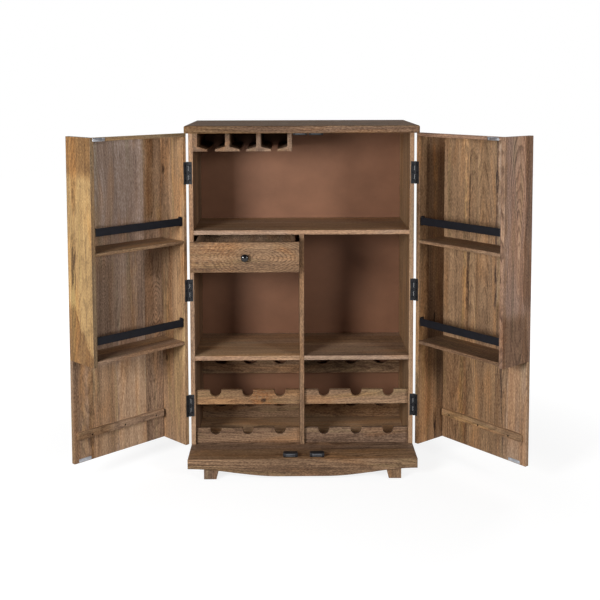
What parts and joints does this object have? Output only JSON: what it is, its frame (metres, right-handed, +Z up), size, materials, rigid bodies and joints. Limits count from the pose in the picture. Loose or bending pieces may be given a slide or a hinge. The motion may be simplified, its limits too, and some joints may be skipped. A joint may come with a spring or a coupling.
{
  "type": "wine cabinet",
  "caption": "Free-standing wooden wine cabinet with deep shelved doors, notched bottle rails, hanging glass rails, a drawer and a bowed apron on short tapered feet.",
  "frame": {"origin": "on the floor, under the middle of the box that the cabinet fills with its doors open", "axes": "+Z up; the opening faces -Y; +X to the right of someone who stands in front of the cabinet"},
  "size_m": [1.7522, 0.7315, 1.39],
  "materials": {
    "wood": "oiled mango wood, satin",
    "back_board": "stained smooth board, satin",
    "hinge_iron": "black, satin",
    "guard_bar": "black, satin",
    "catch": "black moulded body with bright steel poles",
    "knob": "black, glossy"
  },
  "bodies": {
    "carcass": {"top_board": "wood", "left_side_panel": "wood", "right_side_panel": "wood", "back_panel": "back_board", "divider": "wood", "upper_shelf": "wood", "left_shelf": "wood", "right_shelf": "wood", "base_board": "wood", "front_apron": "wood", "front_left_foot": "wood", "front_right_foot": "wood", "rear_left_foot": "wood", "rear_right_foot": "wood", "left_lower_front_bottle_rail": "wood", "right_lower_front_bottle_rail": "wood", "left_upper_front_bottle_rail": "wood", "right_upper_front_bottle_rail": "wood", "left_lower_rear_bottle_rail": "wood", "right_lower_rear_bottle_rail": "wood", "left_upper_rear_bottle_rail": "wood", "right_upper_rear_bottle_rail": "wood", "glass_rail_1": "wood", "glass_rail_2": "wood", "glass_rail_3": "wood", "glass_rail_4": "wood", "left_base_catch": "catch", "right_base_catch": "catch", "left_top_catch": "catch", "right_top_catch": "catch", "left_lower_hinge_carcass_leaf": "hinge_iron", "left_middle_hinge_carcass_leaf": "hinge_iron", "left_upper_hinge_carcass_leaf": "hinge_iron", "right_lower_hinge_carcass_leaf": "hinge_iron", "right_middle_hinge_carcass_leaf": "hinge_iron", "right_upper_hinge_carcass_leaf": "hinge_iron"},
    "left_door": {"left_door_front_panel": "wood", "left_door_hinge_side": "wood", "left_door_free_side": "wood", "left_door_lower_shelf": "wood", "left_door_upper_shelf": "wood", "left_door_lower_guard_bar": "guard_bar", "left_door_upper_guard_bar": "guard_bar", "left_lower_hinge_door_leaf": "hinge_iron", "left_middle_hinge_door_leaf": "hinge_iron", "left_upper_hinge_door_leaf": "hinge_iron"},
    "right_door": {"right_door_front_panel": "wood", "right_door_hinge_side": "wood", "right_door_free_side": "wood", "right_door_lower_shelf": "wood", "right_door_upper_shelf": "wood", "right_door_lower_guard_bar": "guard_bar", "right_door_upper_guard_bar": "guard_bar", "right_lower_hinge_door_leaf": "hinge_iron", "right_middle_hinge_door_leaf": "hinge_iron", "right_upper_hinge_door_leaf": "hinge_iron"},
    "drawer": {"drawer_front": "wood", "drawer_box": "wood", "drawer_bottom": "wood", "drawer_knob": "knob"}
  },
  "joints": [
    {"name": "left_door_hinge", "type": "hinge", "parent": "carcass", "child": "left_door", "pos_m": [-0.44, -0.013, 0.72225], "axis": [0, 0, -1], "range_deg": [-135.5, 44.5]},
    {"name": "right_door_hinge", "type": "hinge", "parent": "carcass", "child": "right_door", "pos_m": [0.468, -0.013, 0.72225], "axis": [0, 0, 1], "range_deg": [-128.3, 51.7]},
    {"name": "drawer_slide", "type": "slide", "parent": "carcass", "child": "drawer", "axis": [0, -1, 0], "range_m": [-0.2205, 0.0725]}
  ],
  "couplings": [
    {"joint": "drawer_slide", "follows": "left_door_hinge", "m_per_rad": 0.093026}
  ]
}
